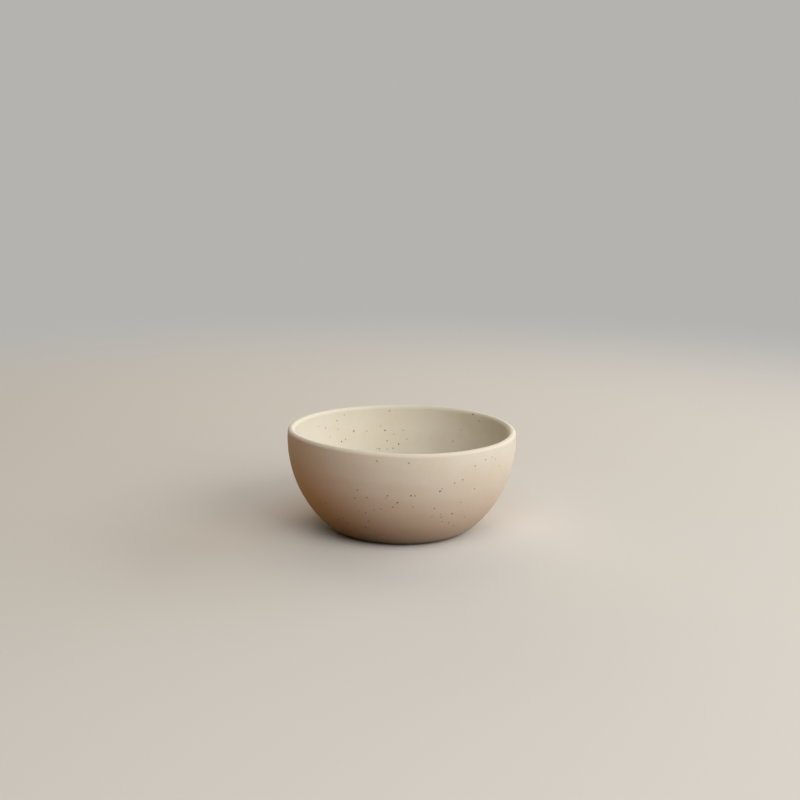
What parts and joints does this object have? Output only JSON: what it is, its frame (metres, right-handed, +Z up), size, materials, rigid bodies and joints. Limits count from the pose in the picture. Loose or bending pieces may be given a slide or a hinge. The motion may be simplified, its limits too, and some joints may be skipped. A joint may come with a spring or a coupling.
{
  "type": "snack bowl",
  "caption": "Small deep round stoneware bowl with a near-vertical rim, a soft rounded lip and a low bare foot ring, under a matte cream glaze with fine brown specks.",
  "frame": {"origin": "centre of the foot ring, on the table", "axes": "+Z up along the axis the bowl was turned about; X and Y are free, because the bowl is round"},
  "size_m": [0.12, 0.12, 0.0531],
  "materials": {
    "fired_stoneware": "matte",
    "cream_glaze_inside": "satin",
    "cream_glaze_outside": "satin",
    "cream_glaze_underside": "satin"
  },
  "bodies": {
    "root": {"stoneware_body": "fired_stoneware", "liner_glaze": "cream_glaze_inside", "outer_glaze": "cream_glaze_outside", "foot_well_glaze": "cream_glaze_underside"}
  },
  "joints": []
}
